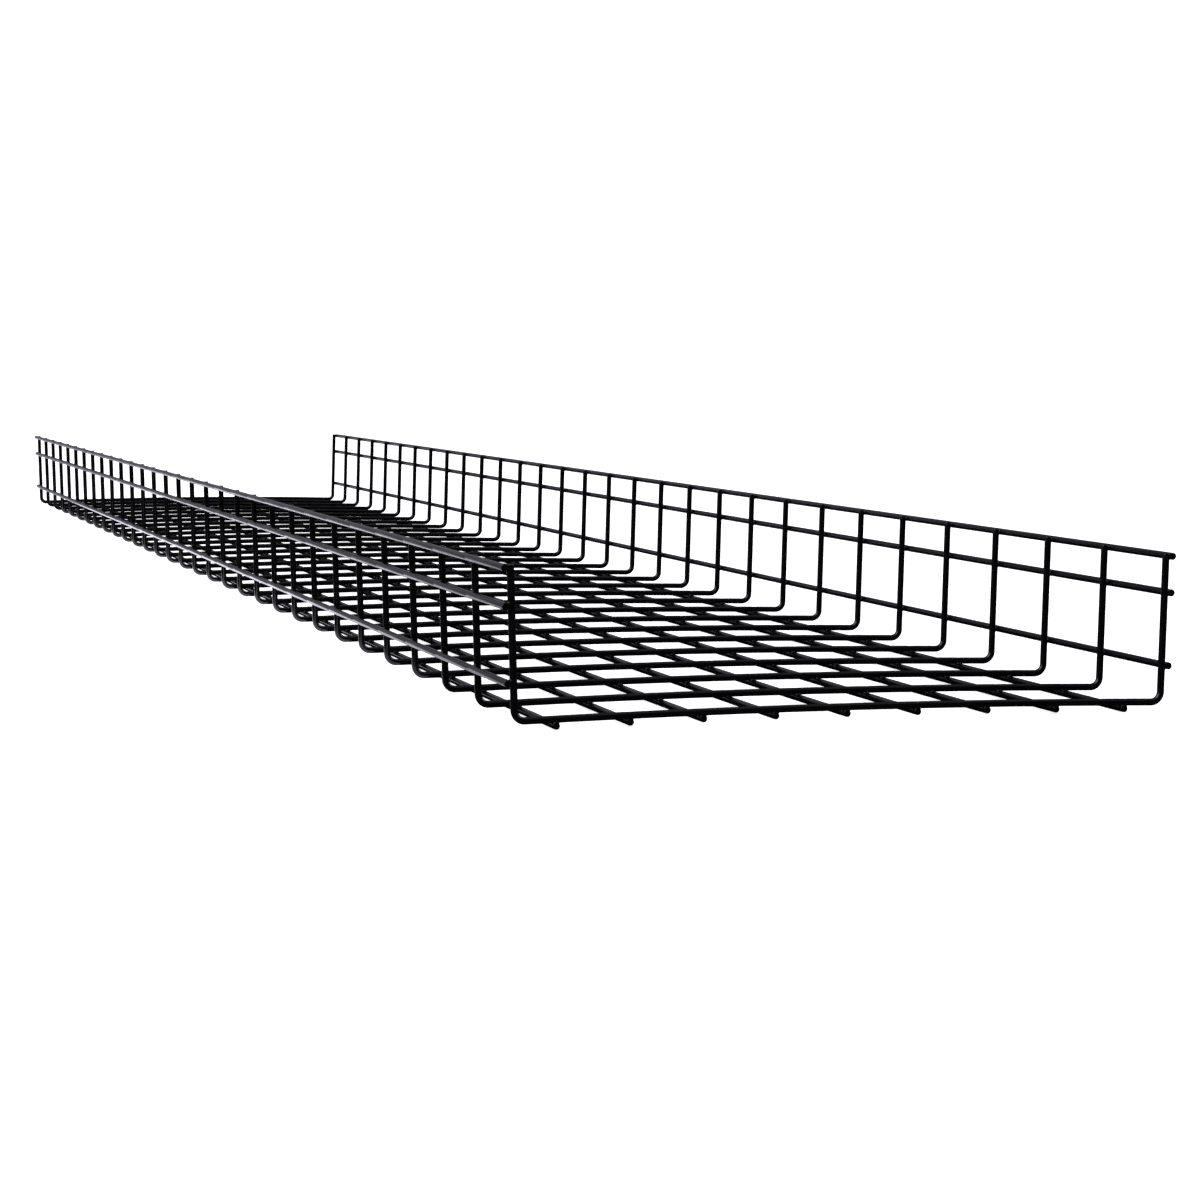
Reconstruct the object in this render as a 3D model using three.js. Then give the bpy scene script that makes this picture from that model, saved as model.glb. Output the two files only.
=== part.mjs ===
// Welded wire mesh cable tray: one straight section, a basket of round wire that is open at both ends.
// Every wire is a separate node. Bent cross wires make the U of the channel, and straight long wires
// run along the outside of that U, under its floor and beside its two walls. The welds on the outside of
// the U have drawn its floor up into a shallow arch, so its walls lean out a little.
//
// Millimetres. X runs along the tray, Y across it and Z up. The origin is at the middle of the tray, at
// the height of the two outer floor wires' undersides, which it rests on. Left is -Y and right is +Y, as
// seen from the +X end.
import * as THREE from 'three';

// Driving dimensions.
const WIRE_DIAMETER = 5;
const INNER_WIDTH = 450;
const CROSS_WIRE_PITCH = 100;
const CROSS_WIRE_COUNT = 31;
const FLOOR_WIRE_PITCH = 50;
const FLOOR_WIRE_COUNT = 9;
// Distances of the wall wires' centres up the wall, from the corner where its line meets the floor's.
const WALL_WIRE_HEIGHTS = { lower: 25, middle: 75, upper: 100 };
// Radius of the cross wires' two bends, on the wire's centreline.
const BEND_RADIUS = 7;
// Rise of the floor's arch from the bends at its two sides to its middle.
const FLOOR_CROWN = 3;
// How far a cross wire's cut end stays below the top of the upper wall wire.
const CROSS_WIRE_END_DROP = 0.5;
// Each weld sinks the two wires into each other: the depth that one wire gives up to it.
const WELD_SET_DOWN = 0.35;
// Clearance left between two wires, in place of the fused metal of the weld.
const WELD_GAP = 0.3;

// Fineness of the faceted wire: sides of its section, and steps round a bend.
const SECTION_SIDES = 8;
const BEND_STEPS = 5;

// Dimensions that follow from the driving ones.
const WIRE_RADIUS = WIRE_DIAMETER / 2;
// The weld seat is the flat along a wire that faces the wires it is welded to.
const SEAT_DEPTH = WELD_SET_DOWN + WELD_GAP / 2;
const CROSSING_DISTANCE = WIRE_DIAMETER - 2 * SEAT_DEPTH + WELD_GAP;
const RUN_LENGTH = CROSS_WIRE_PITCH * (CROSS_WIRE_COUNT - 1);
// The long wires are cut off level with the outside of the first and last cross wire.
const LONG_WIRE_LENGTH = RUN_LENGTH + WIRE_DIAMETER;
const CROSS_WIRE_HALF_WIDTH = (INNER_WIDTH + WIRE_DIAMETER) / 2;
const CROSS_WIRE_END_HEIGHT = WALL_WIRE_HEIGHTS.upper + WIRE_RADIUS - CROSS_WIRE_END_DROP;
// The floor's arch runs from bend to bend. The walls are square to its ends.
const ARCH_HALF_WIDTH = CROSS_WIRE_HALF_WIDTH - BEND_RADIUS;
const ARCH_RADIUS = (ARCH_HALF_WIDTH ** 2 + FLOOR_CROWN ** 2) / (2 * FLOOR_CROWN);
const WALL_LEAN = Math.asin(ARCH_HALF_WIDTH / ARCH_RADIUS);
const OUTER_FLOOR_WIRE_Y = (FLOOR_WIRE_PITCH * (FLOOR_WIRE_COUNT - 1)) / 2;
const ARCH_CENTRE_Z = WIRE_RADIUS + CROSSING_DISTANCE - Math.sqrt(ARCH_RADIUS ** 2 - OUTER_FLOOR_WIRE_Y ** 2);
const FLOOR_CORNER_Z = archZ(ARCH_HALF_WIDTH) - BEND_RADIUS * Math.sin(WALL_LEAN);
const QUARTER_TURN = Math.PI / 2;

// Height of the cross wires' arched centreline over the floor.
function archZ(y) {
  return ARCH_CENTRE_Z + Math.sqrt(ARCH_RADIUS ** 2 - y ** 2);
}

// The point at a distance up a wall from the floor's corner, and at a distance out from the cross wires
// there. The side is -1 for the left wall and 1 for the right one.
function wallPoint(side, height, outward) {
  const y = CROSS_WIRE_HALF_WIDTH + height * Math.sin(WALL_LEAN) + outward * Math.cos(WALL_LEAN);
  const z = FLOOR_CORNER_Z + height * Math.cos(WALL_LEAN) - outward * Math.sin(WALL_LEAN);
  return { y: side * y, z };
}

// Black powder coat, a fresh material for each wire.
function powderCoat() {
  return new THREE.MeshStandardMaterial({ color: 0x141416, roughness: 0.42, metalness: 0.15 });
}

// Section of a wire: a regular polygon drawn about its circle, so that its flats are a full diameter
// apart. The side that faces +X is the weld seat, and is moved in by the seat's depth.
function wireSection() {
  const sideAngle = (2 * Math.PI) / SECTION_SIDES;
  const cornerRadius = WIRE_RADIUS / Math.cos(sideAngle / 2);
  const seatX = WIRE_RADIUS - SEAT_DEPTH;
  // The seat's corners slide in along the two sides next to it.
  const seatHalfWidth = (WIRE_RADIUS - seatX * Math.cos(sideAngle)) / Math.sin(sideAngle);
  const corners = [new THREE.Vector2(seatX, seatHalfWidth)];
  for (let corner = 1; corner < SECTION_SIDES - 1; corner += 1) {
    const angle = (corner + 0.5) * sideAngle;
    corners.push(new THREE.Vector2(cornerRadius * Math.cos(angle), cornerRadius * Math.sin(angle)));
  }
  corners.push(new THREE.Vector2(seatX, -seatHalfWidth));
  return new THREE.Shape(corners);
}

// Centreline of a wire bent in the YZ plane, given as the points where its section stands. Positions
// along it count those points, so that a straight run is a single step. The section's +X side always
// faces the outside of the bends.
class BentCentreline extends THREE.Curve {
  constructor() {
    super();
    this.points = [];
    this.tangents = [];
    this.normals = [];
    this.binormals = [];
  }

  // The heading is the angle of the wire's direction from +Y towards +Z.
  add(y, z, heading) {
    this.points.push(new THREE.Vector3(0, y, z));
    this.tangents.push(new THREE.Vector3(0, Math.cos(heading), Math.sin(heading)));
    this.normals.push(new THREE.Vector3(0, Math.sin(heading), -Math.cos(heading)));
    this.binormals.push(new THREE.Vector3(-1, 0, 0));
  }

  get steps() {
    return this.points.length - 1;
  }

  getPointAt(position) {
    return this.points[Math.round(position * this.steps)].clone();
  }

  computeFrenetFrames() {
    return { tangents: this.tangents, normals: this.normals, binormals: this.binormals };
  }
}

// Adds a cross wire's bend at the left (-1) or right (1) wall, from its first heading to its last.
function addBend(line, side) {
  const centreY = side * (ARCH_HALF_WIDTH + BEND_RADIUS * Math.sin(WALL_LEAN));
  const centreZ = archZ(ARCH_HALF_WIDTH) + BEND_RADIUS * Math.cos(WALL_LEAN);
  const firstHeading = side < 0 ? WALL_LEAN - QUARTER_TURN : -WALL_LEAN;
  for (let step = 0; step <= BEND_STEPS; step += 1) {
    const heading = firstHeading + (step / BEND_STEPS) * QUARTER_TURN;
    const y = centreY + BEND_RADIUS * Math.sin(heading);
    const z = centreZ - BEND_RADIUS * Math.cos(heading);
    line.add(y, z, heading);
  }
}

// The U of a cross wire: down the left wall, across the floor and up the right wall. On the floor its
// section stands halfway between the floor wires, so that each of them meets a straight stretch.
function crossWireCentreline() {
  const line = new BentCentreline();
  const leftEnd = wallPoint(-1, CROSS_WIRE_END_HEIGHT, 0);
  const rightEnd = wallPoint(1, CROSS_WIRE_END_HEIGHT, 0);
  line.add(leftEnd.y, leftEnd.z, WALL_LEAN - QUARTER_TURN);
  addBend(line, -1);
  for (let gap = 1; gap < FLOOR_WIRE_COUNT; gap += 1) {
    const y = (gap - FLOOR_WIRE_COUNT / 2) * FLOOR_WIRE_PITCH;
    line.add(y, archZ(y), -Math.asin(y / ARCH_RADIUS));
  }
  addBend(line, 1);
  line.add(rightEnd.y, rightEnd.z, QUARTER_TURN - WALL_LEAN);
  return line;
}

// A cross wire in its own plane, X = 0, with its weld seat on the outside of the U.
function crossWireGeometry() {
  const line = crossWireCentreline();
  return new THREE.ExtrudeGeometry(wireSection(), { extrudePath: line, steps: line.steps });
}

// A long wire centred on the origin, with its weld seat facing up.
function longWireGeometry() {
  const geometry = new THREE.ExtrudeGeometry(wireSection(), {
    depth: LONG_WIRE_LENGTH,
    steps: 1,
    bevelEnabled: false,
  });
  geometry.translate(0, 0, -LONG_WIRE_LENGTH / 2);
  geometry.rotateY(-QUARTER_TURN);
  return geometry;
}

// A named wire node.
function wire(name, geometry) {
  const mesh = new THREE.Mesh(geometry, powderCoat());
  mesh.name = name;
  return mesh;
}

// The row of U-shaped cross wires along the tray.
function crossWires() {
  const group = new THREE.Group();
  const geometry = crossWireGeometry();
  for (let index = 0; index < CROSS_WIRE_COUNT; index += 1) {
    const number = String(index + 1).padStart(2, '0');
    const crossWire = wire(`cross_wire_${number}`, geometry);
    crossWire.position.x = index * CROSS_WIRE_PITCH - RUN_LENGTH / 2;
    group.add(crossWire);
  }
  return group;
}

// The long wires under the floor, from left to right.
function floorWires() {
  const group = new THREE.Group();
  const geometry = longWireGeometry();
  for (let index = 0; index < FLOOR_WIRE_COUNT; index += 1) {
    const y = index * FLOOR_WIRE_PITCH - OUTER_FLOOR_WIRE_Y;
    const floorWire = wire(`floor_wire_${index + 1}`, geometry);
    floorWire.position.set(0, y, archZ(y) - CROSSING_DISTANCE);
    group.add(floorWire);
  }
  return group;
}

// The long wires outside one wall. The side is -1 for the left wall and 1 for the right one.
function wallWires(wallName, side) {
  const group = new THREE.Group();
  const geometry = longWireGeometry();
  for (const [level, height] of Object.entries(WALL_WIRE_HEIGHTS)) {
    const wallWire = wire(`${wallName}_wall_wire_${level}`, geometry);
    const { y, z } = wallPoint(side, height, CROSSING_DISTANCE);
    wallWire.position.set(0, y, z);
    wallWire.rotation.x = side * QUARTER_TURN;
    group.add(wallWire);
  }
  return group;
}

const cableTray = new THREE.Group();
cableTray.add(crossWires(), floorWires(), wallWires('left', -1), wallWires('right', 1));

export default cableTray;
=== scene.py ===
"""Looks of a welded wire mesh cable tray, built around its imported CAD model.

Every CAD wire is an eight-sided prism. Here each one is replaced by a round wire in the same place, with
rounded cut ends and the shallow flats that the welding electrodes press into it. The fused metal of the
welds is added as fillets, which the CAD model leaves out. Lengths are in metres. X runs along the tray, Y
across it and Z up. The end near the camera is +X, and the left wall is at -Y.
"""

import math
import random

import bpy
from mathutils import Matrix, Vector


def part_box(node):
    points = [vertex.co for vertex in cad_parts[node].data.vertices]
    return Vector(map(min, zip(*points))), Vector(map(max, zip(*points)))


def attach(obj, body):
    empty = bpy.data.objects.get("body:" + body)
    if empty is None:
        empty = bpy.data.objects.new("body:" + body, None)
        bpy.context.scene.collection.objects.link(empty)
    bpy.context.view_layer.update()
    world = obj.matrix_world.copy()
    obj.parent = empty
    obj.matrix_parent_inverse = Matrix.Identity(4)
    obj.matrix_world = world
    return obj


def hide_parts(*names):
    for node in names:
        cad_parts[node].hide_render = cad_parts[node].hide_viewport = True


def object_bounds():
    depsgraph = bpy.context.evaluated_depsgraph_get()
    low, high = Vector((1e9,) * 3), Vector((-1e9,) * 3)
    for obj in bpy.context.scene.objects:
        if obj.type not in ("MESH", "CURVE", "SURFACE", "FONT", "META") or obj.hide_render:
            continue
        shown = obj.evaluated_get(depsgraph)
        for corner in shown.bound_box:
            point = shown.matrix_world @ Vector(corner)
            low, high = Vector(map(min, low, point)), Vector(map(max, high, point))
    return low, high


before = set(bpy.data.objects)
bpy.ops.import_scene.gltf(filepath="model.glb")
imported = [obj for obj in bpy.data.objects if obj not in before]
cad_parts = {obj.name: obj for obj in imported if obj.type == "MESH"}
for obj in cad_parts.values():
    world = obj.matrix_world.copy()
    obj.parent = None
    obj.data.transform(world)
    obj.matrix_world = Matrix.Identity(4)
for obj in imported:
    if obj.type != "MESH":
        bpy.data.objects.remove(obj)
cad_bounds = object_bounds()

MM = 0.001
BODY = "root"

# The CAD section of a floor wire is a full diameter wide, and its upper side is the flat of its welds.
floor_low, floor_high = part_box("floor_wire_1")
WIRE_RADIUS = (floor_high.y - floor_low.y) / 2
WELD_SEAT = (floor_high.z - floor_low.z) - WIRE_RADIUS
# The CAD model leaves this gap between crossing wires.
WELD_GAP = 0.3 * MM
CROSSING_DISTANCE = 2 * WELD_SEAT + WELD_GAP

# Wire detail.
SECTION_SIDES = 24
BEND_RADIUS = 7 * MM
BEND_STEPS = 12
END_ROUNDING = 0.6 * MM
END_STEPS = 4
END_DOME = 0.12 * MM
# The domed cut face has one ring of vertices: its depth as a share of the dome's, and its loss of radius as
# a share of the wire's.
DOME_RING_DEPTH = 1 / 3
DOME_RING_LOSS = 0.6
ELECTRODE_FLAT_DEPTH = 0.12 * MM
ELECTRODE_FLAT_HALF_LENGTH = 2.6 * MM
ELECTRODE_FLAT_RAMP = 0.9 * MM

# Weld fillets: the radius of the ball that would roll in the crease between the two wires.
FILLET_RADIUS_RANGE = (0.55 * MM, 0.85 * MM)
FILLET_WAVES = (2, 3, 5)
FILLET_WAVINESS = 0.09
FILLET_SIDES = 24
FILLET_STEPS = 5
FILLET_INSET = 0.02 * MM
# A weld beside a cut end stops this far short of it.
WELD_TRIM = 0.12 * MM

# The middle of the noise's range, which holds nearly all of it.
NOISE_SPREAD = (0.3, 0.7)

# Powder coat: the two colours that it drifts between, and the size of the patches of that drift, of its
# changes of sheen, of its orange peel and of its grain.
COAT_COLOURS = ((0.0008, 0.0008, 0.0010), (0.0016, 0.0015, 0.0018))
COAT_IOR = 1.5
COLOUR_WAVELENGTH = 22 * MM
SHEEN_WAVELENGTH = 6 * MM
PEEL_WAVELENGTH = 1.5 * MM
GRAIN_WAVELENGTH = 0.25 * MM
GRAIN_HEIGHT = 0.0025 * MM
# The height of the orange peel and the range of the roughness, on the wires and on the welds.
WIRE_PEEL_HEIGHT = 0.02 * MM
WIRE_ROUGHNESS = (0.14, 0.24)
WELD_PEEL_HEIGHT = 0.035 * MM
WELD_ROUGHNESS = (0.18, 0.30)

# Camera: where it stands, and how it is turned.
CAMERA_LOCATION = Vector((3.5068, -0.7297, 0.2484))
CAMERA_AZIMUTH = math.radians(74.424)
CAMERA_PITCH = math.radians(4.519)
CAMERA_ROLL = math.radians(0.115)
CAMERA_LENS_MM = 96.59
CAMERA_SENSOR_MM = 36.0
CAMERA_CLIP_END = 200

# Stage floor, the backdrop that only the camera sees, and the wide light overhead.
FLOOR_HALF_SIZE = 60
FLOOR_COLOURS = ((0.90, 0.90, 0.90), (0.93, 0.93, 0.93))
FLOOR_MOTTLE_WAVELENGTH = 0.4
FLOOR_ROUGHNESS = 0.9
FLOOR_GLOW = 0.72
BACKDROP_BRIGHTNESS = 1.05
OVERHEAD_STRENGTH = 0.8
OVERHEAD_ANGLE = math.radians(120)

# Studio surround: its level where it is dark, its tint, and its patches of light. Each patch has the
# direction of its centre, the angles from there to its edge and to its full brightness, and its strength.
SURROUND_DARKNESS = 0.012
SURROUND_TINT = (0.88, 0.88, 1)
SURROUND_PATCHES = (
    # A panel low down past the far end of the tray, and the glow round it.
    ((-0.975, -0.07, -0.21), 14, 5, 0.65),
    ((-1, 0, 0.1), 28, 10, 0.22),
    # A large softbox above the left side, a small one above the right side, and a dim glow overhead.
    ((0.1, -0.75, 0.65), 38, 18, 3.0),
    ((0, 0.85, 0.5), 22, 8, 3.0),
    ((0, 0, 1), 55, 25, 0.25),
)
# Two cards on the floor that only reflections see: a black one under the tray, which is painted shade for
# the shaded floor there, and a glowing one that meets it a little inside the left wall and reaches some way
# outside it.
CARD_SEAM_INSET = 20 * MM
REFLECTOR_REACH = 70 * MM
# Along X, the glowing card starts here and ends where its fade does. The fade takes its glow from the first
# strength to the second.
REFLECTOR_START = -1.2
REFLECTOR_FADE = (0.45, 1.3)
REFLECTOR_GLOW = (2.2, 0.7)


def mesh_object(name, vertices, faces, material):
    """A smooth-shaded mesh object in the scene."""
    mesh = bpy.data.meshes.new(name)
    mesh.from_pydata(vertices, [], faces)
    mesh.polygons.foreach_set("use_smooth", [True] * len(mesh.polygons))
    mesh.materials.append(material)
    mesh.update()
    piece = bpy.data.objects.new(name, mesh)
    bpy.context.scene.collection.objects.link(piece)
    return piece


def add_to_object(piece, *replaced):
    """Makes a piece part of the object, standing for the CAD nodes named."""
    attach(piece, BODY)
    if replaced:
        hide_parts(*replaced)


# Wires -------------------------------------------------------------------------------------------


def straight_path(start, outward):
    """A wire along +X from start. Outward points to the wires that it is welded to."""
    def point_at(position):
        return start + Vector((position, 0, 0)), Vector((1, 0, 0)), outward

    return point_at


def long_wire_layout(node):
    """Centre of a long wire's low end, its length, and the direction of the wires it is welded to."""
    low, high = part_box(node)
    if node.startswith("floor"):
        centre = Vector((low.x, (low.y + high.y) / 2, low.z + WIRE_RADIUS))
        outward = Vector((0, 0, 1))
    elif node.startswith("left"):
        centre = Vector((low.x, low.y + WIRE_RADIUS, (low.z + high.z) / 2))
        outward = Vector((0, 1, 0))
    else:
        centre = Vector((low.x, high.y - WIRE_RADIUS, (low.z + high.z) / 2))
        outward = Vector((0, -1, 0))
    return centre, high.x - low.x, outward


class CrossWirePath:
    """The U of a cross wire in its plane: down the left wall, over the arched floor, up the right wall."""

    def __init__(self, node):
        low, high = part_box(node)
        self.x = (low.x + high.x) / 2
        self.top_z = high.z

        # The walls lean out as the line through their wires does.
        lower, _, _ = long_wire_layout("right_wall_wire_lower")
        upper, _, _ = long_wire_layout("right_wall_wire_upper")
        self.lean = math.atan2(upper.y - lower.y, upper.z - lower.z)
        # The floor's arch passes over the floor wires, and ends where it is square to the walls.
        middle, _, _ = long_wire_layout("floor_wire_5")
        outer, _, _ = long_wire_layout("floor_wire_9")
        drop = middle.z - outer.z
        self.arch_radius = (outer.y ** 2 + drop ** 2) / (2 * drop)
        self.arch_centre_z = middle.z + CROSSING_DISTANCE - self.arch_radius

        across = math.sin(self.lean)
        up = math.cos(self.lean)
        self.bend_y = (self.arch_radius + BEND_RADIUS) * across
        self.bend_z = self.arch_centre_z + (self.arch_radius + BEND_RADIUS) * up
        self.wall_foot_y = self.bend_y + BEND_RADIUS * up
        self.wall_foot_z = self.bend_z - BEND_RADIUS * across
        end_z = self.top_z - WIRE_RADIUS * across
        self.wall_run = (end_z - self.wall_foot_z) / up
        self.bend_run = BEND_RADIUS * math.pi / 2
        self.floor_run = 2 * self.arch_radius * self.lean
        self.length = 2 * (self.wall_run + self.bend_run) + self.floor_run

    def crossing(self, long_node):
        """The position along the wire where a long wire is welded to it."""
        centre, _, _ = long_wire_layout(long_node)
        if long_node.startswith("floor"):
            angle = self.lean + math.asin(centre.y / self.arch_radius)
            return self.wall_run + self.bend_run + self.arch_radius * angle
        beyond_foot = abs(centre.y) - self.wall_foot_y
        above_foot = centre.z - self.wall_foot_z
        height = above_foot * math.cos(self.lean) + beyond_foot * math.sin(self.lean)
        from_end = self.wall_run - height
        return from_end if centre.y < 0 else self.length - from_end

    def bend_positions(self):
        """Positions of the sections round both bends."""
        steps = [self.bend_run * step / BEND_STEPS for step in range(BEND_STEPS + 1)]
        second = self.wall_run + self.bend_run + self.floor_run
        return [self.wall_run + step for step in steps] + [second + step for step in steps]

    def point_at(self, position):
        """Centre, direction and outward direction at a position along the wire."""
        heading, y, z = self.locate(position)
        along = Vector((0, math.cos(heading), math.sin(heading)))
        outward = Vector((0, math.sin(heading), -math.cos(heading)))
        return Vector((self.x, y, z)), along, outward

    def locate(self, position):
        """Heading from +Y towards +Z, and the y and z of the centreline."""
        upright = math.pi / 2 - self.lean
        if position <= self.wall_run:
            return -upright, *self.on_wall(-1, self.wall_run - position)
        position -= self.wall_run
        if position <= self.bend_run:
            heading = position / BEND_RADIUS - upright
            return heading, *self.round_bend(-1, heading)
        position -= self.bend_run
        if position <= self.floor_run:
            heading = self.lean - position / self.arch_radius
            y = -self.arch_radius * math.sin(heading)
            return heading, y, self.arch_centre_z + self.arch_radius * math.cos(heading)
        position -= self.floor_run
        if position <= self.bend_run:
            heading = position / BEND_RADIUS - self.lean
            return heading, *self.round_bend(1, heading)
        position -= self.bend_run
        return upright, *self.on_wall(1, position)

    def on_wall(self, side, height):
        """y and z at a distance up the left (-1) or right (1) wall from its foot."""
        y = self.wall_foot_y + height * math.sin(self.lean)
        return side * y, self.wall_foot_z + height * math.cos(self.lean)

    def round_bend(self, side, heading):
        """y and z on the centreline of the left (-1) or right (1) bend."""
        y = side * self.bend_y + BEND_RADIUS * math.sin(heading)
        z = self.bend_z - BEND_RADIUS * math.cos(heading)
        return y, z


def electrode_flat_depth(position, crossings):
    """How deep the welding electrode has flattened the wire there, opposite to its weld."""
    distance = min(abs(position - crossing) for crossing in crossings)
    ramp = (ELECTRODE_FLAT_HALF_LENGTH + ELECTRODE_FLAT_RAMP - distance) / ELECTRODE_FLAT_RAMP
    return ELECTRODE_FLAT_DEPTH * min(1, max(0, ramp))


def section_positions(length, crossings, extra):
    """Positions of a wire's sections between its two rounded ends."""
    reach = ELECTRODE_FLAT_HALF_LENGTH + ELECTRODE_FLAT_RAMP
    offsets = (-reach, -ELECTRODE_FLAT_HALF_LENGTH, ELECTRODE_FLAT_HALF_LENGTH, reach)
    positions = {crossing + offset for crossing in crossings for offset in offsets}
    positions.update(extra)
    return sorted(p for p in positions if END_ROUNDING < p < length - END_ROUNDING)


def end_sections():
    """Distance from the end and loss of radius of the sections that round off a cut end."""
    sections = []
    for step in range(END_STEPS + 1):
        angle = step / END_STEPS * math.pi / 2
        from_end = END_ROUNDING * (1 - math.sin(angle)) + END_DOME
        sections.append((from_end, END_ROUNDING * (1 - math.cos(angle))))
    # The cut face itself: a shallow dome, up to its centre.
    sections.append((END_DOME * DOME_RING_DEPTH, WIRE_RADIUS * DOME_RING_LOSS))
    return sections


def section_ring(point_at, position, radius, flat_depth):
    """The ring of vertices round the wire at a position."""
    centre, along, outward = point_at(position)
    sideways = along.cross(outward)
    ring = []
    for side in range(SECTION_SIDES):
        angle = 2 * math.pi * side / SECTION_SIDES
        reach = radius
        if math.cos(angle) < 0:
            reach = min(radius, (WIRE_RADIUS - flat_depth) / -math.cos(angle))
        ring.append(centre + reach * (math.cos(angle) * outward + math.sin(angle) * sideways))
    return ring


def wire_mesh(name, point_at, length, crossings, extra_positions, material):
    """A closed round wire with rounded ends and electrode flats."""
    ends = end_sections()
    sections = [(from_end, WIRE_RADIUS - loss) for from_end, loss in reversed(ends)]
    sections += [(p, WIRE_RADIUS) for p in section_positions(length, crossings, extra_positions)]
    sections += [(length - from_end, WIRE_RADIUS - loss) for from_end, loss in ends]

    vertices = [point_at(0)[0]]
    for position, radius in sections:
        flat_depth = electrode_flat_depth(position, crossings)
        vertices += section_ring(point_at, position, radius, flat_depth)
    vertices.append(point_at(length)[0])

    faces = []
    last = len(vertices) - 1
    last_ring = last - SECTION_SIDES
    for side in range(SECTION_SIDES):
        following = (side + 1) % SECTION_SIDES
        faces.append((0, 1 + following, 1 + side))
        for section in range(len(sections) - 1):
            low = 1 + section * SECTION_SIDES
            high = low + SECTION_SIDES
            faces.append((low + side, low + following, high + following, high + side))
        faces.append((last, last_ring + side, last_ring + following))
    return mesh_object(name, vertices, faces, material)


def build_long_wire(node, cross_paths, material):
    """The round wire that replaces a long wire's CAD node."""
    start, length, outward = long_wire_layout(node)
    crossings = [path.x - start.x for path in cross_paths]
    name = node.replace("wire", "rod")
    piece = wire_mesh(name, straight_path(start, outward), length, crossings, [], material)
    add_to_object(piece, node)


def build_cross_wire(node, path, long_nodes, material):
    """The round wire that replaces a cross wire's CAD node."""
    crossings = [path.crossing(long_node) for long_node in long_nodes]
    name = node.replace("wire", "rod")
    bends = path.bend_positions()
    piece = wire_mesh(name, path.point_at, path.length, crossings, bends, material)
    add_to_object(piece, node)


# Welds -------------------------------------------------------------------------------------------


def ball_centre(angle, ball_radius, wire_radius):
    """Centre of a ball that touches both wires of a crossing, in the direction of an angle round it.

    The lower wire lies along X through the origin, and the upper one along Y at the crossing distance.
    """
    reach = wire_radius + ball_radius
    turn = math.cos(2 * angle)
    spread = reach ** 2 - CROSSING_DISTANCE ** 2 / 4
    # Root of turn^2 / (4 d^2) q^2 + q / 2 - spread = 0, in the form that holds when turn is 0.
    root = math.sqrt(0.25 + turn ** 2 * spread / CROSSING_DISTANCE ** 2)
    squared = 2 * spread / (0.5 + root)
    distance = math.sqrt(squared)
    height = CROSSING_DISTANCE / 2 + squared * turn / (2 * CROSSING_DISTANCE)
    return Vector((distance * math.cos(angle), distance * math.sin(angle), height))


def fillet_profile(angle, ball_radius, wire_radius):
    """Points of the fillet from the lower wire to the upper one, along the ball that rolls there."""
    centre = ball_centre(angle, ball_radius, wire_radius)
    share = wire_radius / (wire_radius + ball_radius)
    on_lower = Vector((centre.x, 0, 0)).lerp(centre, share)
    on_upper = Vector((0, centre.y, CROSSING_DISTANCE)).lerp(centre, share)
    first = (on_lower - centre).normalized()
    last = (on_upper - centre).normalized()
    opening = first.angle(last)
    points = []
    for step in range(FILLET_STEPS + 1):
        part = step / FILLET_STEPS
        weights = math.sin((1 - part) * opening), math.sin(part * opening)
        direction = (weights[0] * first + weights[1] * last) / math.sin(opening)
        points.append(centre + ball_radius * direction)
    return points


def add_weld(place, trim, generator, vertices, faces):
    """Adds one closed weld fillet.

    Place carries the crossing's own axes into the tray's, and trim keeps a point inside the cut ends.
    """
    base_radius = generator.uniform(*FILLET_RADIUS_RANGE)
    waves = [(count, generator.uniform(0, 2 * math.pi)) for count in FILLET_WAVES]
    wire_radius = WIRE_RADIUS - FILLET_INSET
    first = len(vertices)
    rows = FILLET_STEPS + 1
    for side in range(FILLET_SIDES):
        angle = 2 * math.pi * side / FILLET_SIDES
        swell = sum(math.sin(count * angle + phase) for count, phase in waves)
        ball_radius = base_radius * (1 + FILLET_WAVINESS * swell)
        vertices += [trim(place @ point) for point in fillet_profile(angle, ball_radius, wire_radius)]
    # The fillet closes on a point inside each wire.
    lower_end = len(vertices)
    upper_end = lower_end + 1
    vertices.append(place @ Vector((0, 0, 0)))
    vertices.append(place @ Vector((0, 0, CROSSING_DISTANCE)))
    for side in range(FILLET_SIDES):
        here = first + side * rows
        following = first + (side + 1) % FILLET_SIDES * rows
        faces.append((lower_end, following, here))
        for row in range(FILLET_STEPS):
            faces.append((here + row, following + row, following + row + 1, here + row + 1))
        faces.append((upper_end, here + FILLET_STEPS, following + FILLET_STEPS))


def build_welds(name, long_nodes, cross_paths, material, seed):
    """All the welds of one side of the tray, as one piece."""
    generator = random.Random(seed)
    vertices = []
    faces = []
    along = Vector((1, 0, 0))
    low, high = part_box(long_nodes[0])
    low_x = low.x + WELD_TRIM
    high_x = high.x - WELD_TRIM
    high_z = cross_paths[0].top_z - WELD_TRIM

    def trim(point):
        return Vector((min(max(point.x, low_x), high_x), point.y, min(point.z, high_z)))

    for node in long_nodes:
        start, _, _ = long_wire_layout(node)
        for path in cross_paths:
            centre = Vector((path.x, start.y, start.z))
            outward = -path.point_at(path.crossing(node))[2]
            axes = Matrix((along, outward.cross(along), outward)).transposed().to_4x4()
            add_weld(Matrix.Translation(centre) @ axes, trim, generator, vertices, faces)
    add_to_object(mesh_object(name, vertices, faces, material))


# Materials ---------------------------------------------------------------------------------------


def new_material(name):
    """A node material with only its Principled shader, which is returned with the material."""
    material = bpy.data.materials.new(name)
    material.use_nodes = True
    shader = material.node_tree.nodes["Principled BSDF"]
    return material, shader


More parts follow.
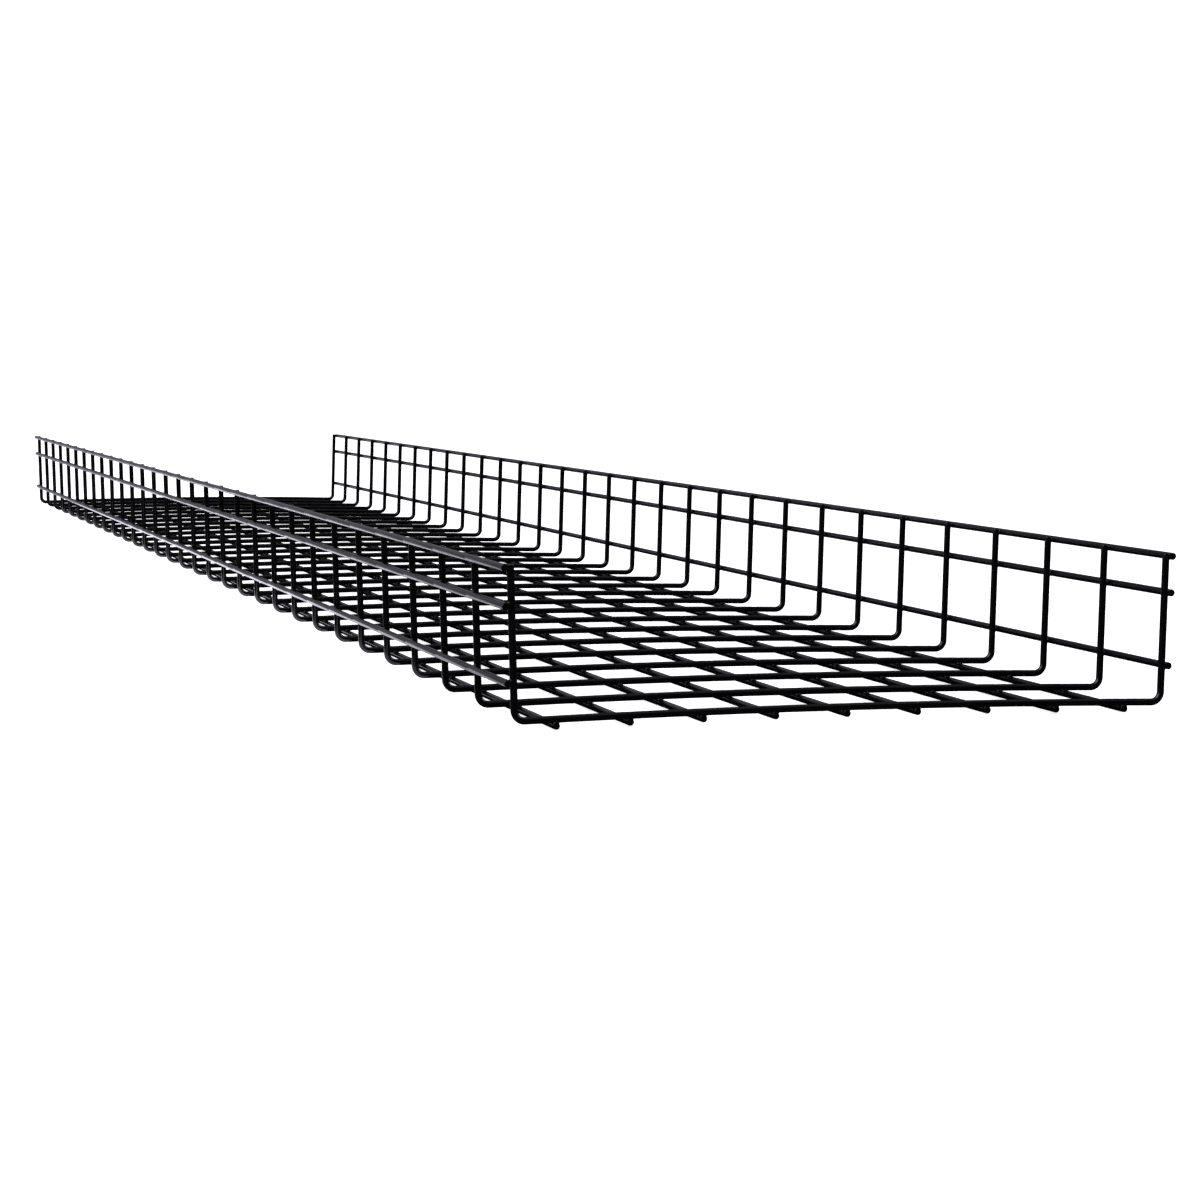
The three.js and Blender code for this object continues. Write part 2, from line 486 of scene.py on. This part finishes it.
def add_noise(material, wavelength, detail):
    """Noise in the tray's own coordinates, with features of about one wavelength."""
    tree = material.node_tree
    place = tree.nodes.new("ShaderNodeTexCoord")
    noise = tree.nodes.new("ShaderNodeTexNoise")
    noise.inputs["Scale"].default_value = 1 / wavelength
    noise.inputs["Detail"].default_value = detail
    tree.links.new(place.outputs["Object"], noise.inputs["Vector"])
    return noise.outputs["Fac"]


def map_range(material, value, source, target):
    """The value, taken from the source range to the target range, and kept inside it."""
    tree = material.node_tree
    node = tree.nodes.new("ShaderNodeMapRange")
    node.inputs["From Min"].default_value = source[0]
    node.inputs["From Max"].default_value = source[1]
    node.inputs["To Min"].default_value = target[0]
    node.inputs["To Max"].default_value = target[1]
    tree.links.new(value, node.inputs["Value"])
    return node.outputs["Result"]


def mix_colours(material, value, first, second):
    """The first colour where the value is 0, and the second where it is 1."""
    tree = material.node_tree
    node = tree.nodes.new("ShaderNodeMix")
    node.data_type = "RGBA"
    node.inputs["A"].default_value = (*first, 1)
    node.inputs["B"].default_value = (*second, 1)
    tree.links.new(value, node.inputs["Factor"])
    return node.outputs["Result"]


def add_bump(material, height, distance, below=None):
    """A bump of that height in metres, on top of another bump's normal."""
    tree = material.node_tree
    node = tree.nodes.new("ShaderNodeBump")
    node.inputs["Strength"].default_value = 1
    node.inputs["Distance"].default_value = distance
    tree.links.new(height, node.inputs["Height"])
    if below is not None:
        tree.links.new(below, node.inputs["Normal"])
    return node.outputs["Normal"]


def powder_coat(name, peel_height, roughness):
    """Satin black powder coat: orange peel, a fine grain, and slow changes of sheen and depth."""
    material, shader = new_material(name)
    tree = material.node_tree
    drift = add_noise(material, COLOUR_WAVELENGTH, detail=3)
    colour = mix_colours(material, map_range(material, drift, NOISE_SPREAD, (0, 1)), *COAT_COLOURS)
    tree.links.new(colour, shader.inputs["Base Color"])
    sheen = add_noise(material, SHEEN_WAVELENGTH, detail=4)
    tree.links.new(map_range(material, sheen, NOISE_SPREAD, roughness), shader.inputs["Roughness"])
    peel = add_bump(material, add_noise(material, PEEL_WAVELENGTH, detail=1), peel_height)
    grain = add_bump(material, add_noise(material, GRAIN_WAVELENGTH, detail=2), GRAIN_HEIGHT, peel)
    tree.links.new(grain, shader.inputs["Normal"])
    shader.inputs["IOR"].default_value = COAT_IOR
    return material


# Stage -------------------------------------------------------------------------------------------


def build_floor():
    """A plain white floor that reaches far past the view.

    It glows like a light table, so shadows stay faint.
    """
    material, shader = new_material("stage_floor")
    tree = material.node_tree
    mottle = add_noise(material, FLOOR_MOTTLE_WAVELENGTH, detail=3)
    colour = mix_colours(material, map_range(material, mottle, NOISE_SPREAD, (0, 1)), *FLOOR_COLOURS)
    tree.links.new(colour, shader.inputs["Base Color"])
    shader.inputs["Roughness"].default_value = FLOOR_ROUGHNESS
    shader.inputs["Specular IOR Level"].default_value = 0
    shader.inputs["Emission Color"].default_value = (1, 1, 1, 1)
    shader.inputs["Emission Strength"].default_value = FLOOR_GLOW
    half = FLOOR_HALF_SIZE
    corners = [(-half, -half, 0), (half, -half, 0), (half, half, 0), (-half, half, 0)]
    floor = mesh_object("stage_floor", corners, [(0, 1, 2, 3)], material)
    floor.visible_glossy = False


def build_card(name, x_range, y_range):
    """A black card on the floor that only reflections see. Returns its material and its shader."""
    material, shader = new_material(name)
    shader.inputs["Base Color"].default_value = (0, 0, 0, 1)
    shader.inputs["Roughness"].default_value = 1
    shader.inputs["Specular IOR Level"].default_value = 0
    low_x, high_x = x_range
    low_y, high_y = y_range
    corners = [(low_x, low_y, 0), (high_x, low_y, 0), (high_x, high_y, 0), (low_x, high_y, 0)]
    card = mesh_object(name, corners, [(0, 1, 2, 3)], material)
    card.visible_camera = False
    card.visible_diffuse = False
    card.visible_shadow = False
    card.visible_transmission = False
    return material, shader


def build_flag():
    """The black card under the tray, painted shade that keeps the undersides of the wires dark."""
    low, high = cad_bounds
    build_card("stage_flag", (low.x, high.x), (low.y + CARD_SEAM_INSET, high.y))


def build_reflector():
    """The glowing card beside the left wall, which lights the lower sides of the long wires there."""
    wall_y = cad_bounds[0].y
    x_range = (REFLECTOR_START, REFLECTOR_FADE[1])
    y_range = (wall_y - REFLECTOR_REACH, wall_y + CARD_SEAM_INSET)
    material, shader = build_card("stage_reflector", x_range, y_range)
    tree = material.node_tree
    place = tree.nodes.new("ShaderNodeTexCoord")
    axes = tree.nodes.new("ShaderNodeSeparateXYZ")
    tree.links.new(place.outputs["Object"], axes.inputs["Vector"])
    glow = map_range(material, axes.outputs["X"], REFLECTOR_FADE, REFLECTOR_GLOW)
    tree.links.new(glow, shader.inputs["Emission Strength"])
    shader.inputs["Emission Color"].default_value = (*SURROUND_TINT, 1)


def surround_patch(tree, direction, below, centre, edge_angle, core_angle, strength):
    """Adds a soft round patch of light to the surround's level below it, and returns the new level."""
    alignment = tree.nodes.new("ShaderNodeVectorMath")
    alignment.operation = "DOT_PRODUCT"
    alignment.inputs[1].default_value = Vector(centre).normalized()
    patch = tree.nodes.new("ShaderNodeMapRange")
    patch.interpolation_type = "SMOOTHSTEP"
    patch.inputs["From Min"].default_value = math.cos(math.radians(edge_angle))
    patch.inputs["From Max"].default_value = math.cos(math.radians(core_angle))
    patch.inputs["To Min"].default_value = 0
    patch.inputs["To Max"].default_value = strength
    total = tree.nodes.new("ShaderNodeMath")
    total.operation = "ADD"
    tree.links.new(direction, alignment.inputs[0])
    tree.links.new(alignment.outputs["Value"], patch.inputs["Value"])
    tree.links.new(below, total.inputs[0])
    tree.links.new(patch.outputs["Result"], total.inputs[1])
    return total.outputs["Value"]


def build_world():
    """Studio surround: dark, with soft patches of light. The camera itself sees a plain white backdrop."""
    world = bpy.data.worlds.new("studio")
    bpy.context.scene.world = world
    world.use_nodes = True
    tree = world.node_tree
    direction = tree.nodes.new("ShaderNodeTexCoord").outputs["Generated"]
    darkness = tree.nodes.new("ShaderNodeValue")
    darkness.outputs["Value"].default_value = SURROUND_DARKNESS
    level = darkness.outputs["Value"]
    for patch in SURROUND_PATCHES:
        level = surround_patch(tree, direction, level, *patch)
    surround = tree.nodes["Background"]
    surround.inputs["Color"].default_value = (*SURROUND_TINT, 1)
    backdrop = tree.nodes.new("ShaderNodeBackground")
    backdrop.inputs["Color"].default_value = (1, 1, 1, 1)
    backdrop.inputs["Strength"].default_value = BACKDROP_BRIGHTNESS
    rays = tree.nodes.new("ShaderNodeLightPath")
    choose = tree.nodes.new("ShaderNodeMixShader")
    tree.links.new(level, surround.inputs["Strength"])
    tree.links.new(rays.outputs["Is Camera Ray"], choose.inputs["Fac"])
    tree.links.new(surround.outputs["Background"], choose.inputs[1])
    tree.links.new(backdrop.outputs["Background"], choose.inputs[2])
    tree.links.new(choose.outputs["Shader"], tree.nodes["World Output"].inputs["Surface"])


def build_light():
    """A very wide soft light from above, which lights the floor evenly and leaves no glints."""
    data = bpy.data.lights.new("overhead", "SUN")
    data.energy = OVERHEAD_STRENGTH
    data.angle = OVERHEAD_ANGLE
    light = bpy.data.objects.new("overhead", data)
    light.visible_glossy = False
    bpy.context.scene.collection.objects.link(light)


def build_camera():
    """The camera, at its place, turned by its azimuth, pitch and roll."""
    data = bpy.data.cameras.new("camera")
    data.lens = CAMERA_LENS_MM
    data.sensor_width = CAMERA_SENSOR_MM
    data.clip_end = CAMERA_CLIP_END
    camera = bpy.data.objects.new("camera", data)
    # Azimuth 0 looks along +Y, and 90 looks along -X.
    ahead = Vector((-math.sin(CAMERA_AZIMUTH), math.cos(CAMERA_AZIMUTH), 0)) * math.cos(CAMERA_PITCH)
    ahead.z = -math.sin(CAMERA_PITCH)
    right = Vector((math.cos(CAMERA_AZIMUTH), math.sin(CAMERA_AZIMUTH), 0))
    up = right.cross(ahead)
    axes = Matrix((right, up, -ahead)).transposed().to_4x4()
    camera.matrix_world = Matrix.Translation(CAMERA_LOCATION) @ axes @ Matrix.Rotation(CAMERA_ROLL, 4, "Z")
    bpy.context.scene.collection.objects.link(camera)
    bpy.context.scene.camera = camera


# Assembly ----------------------------------------------------------------------------------------

build_camera()
build_floor()
build_flag()
build_reflector()
build_world()
build_light()
bpy.context.scene.view_settings.view_transform = "Standard"

nodes = sorted(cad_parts)
cross_nodes = [node for node in nodes if node.startswith("cross")]
long_nodes = [node for node in nodes if not node.startswith("cross")]
paths = [CrossWirePath(node) for node in cross_nodes]

wire_coat = powder_coat("powder_coat_wire", WIRE_PEEL_HEIGHT, WIRE_ROUGHNESS)
weld_coat = powder_coat("powder_coat_weld", WELD_PEEL_HEIGHT, WELD_ROUGHNESS)

for node, path in zip(cross_nodes, paths):
    build_cross_wire(node, path, long_nodes, wire_coat)
for node in long_nodes:
    build_long_wire(node, paths, wire_coat)
for seed, side in enumerate(("floor", "left_wall", "right_wall"), start=1):
    welded_nodes = [node for node in long_nodes if node.startswith(side)]
    build_welds(f"{side}_welds", welded_nodes, paths, weld_coat, seed)
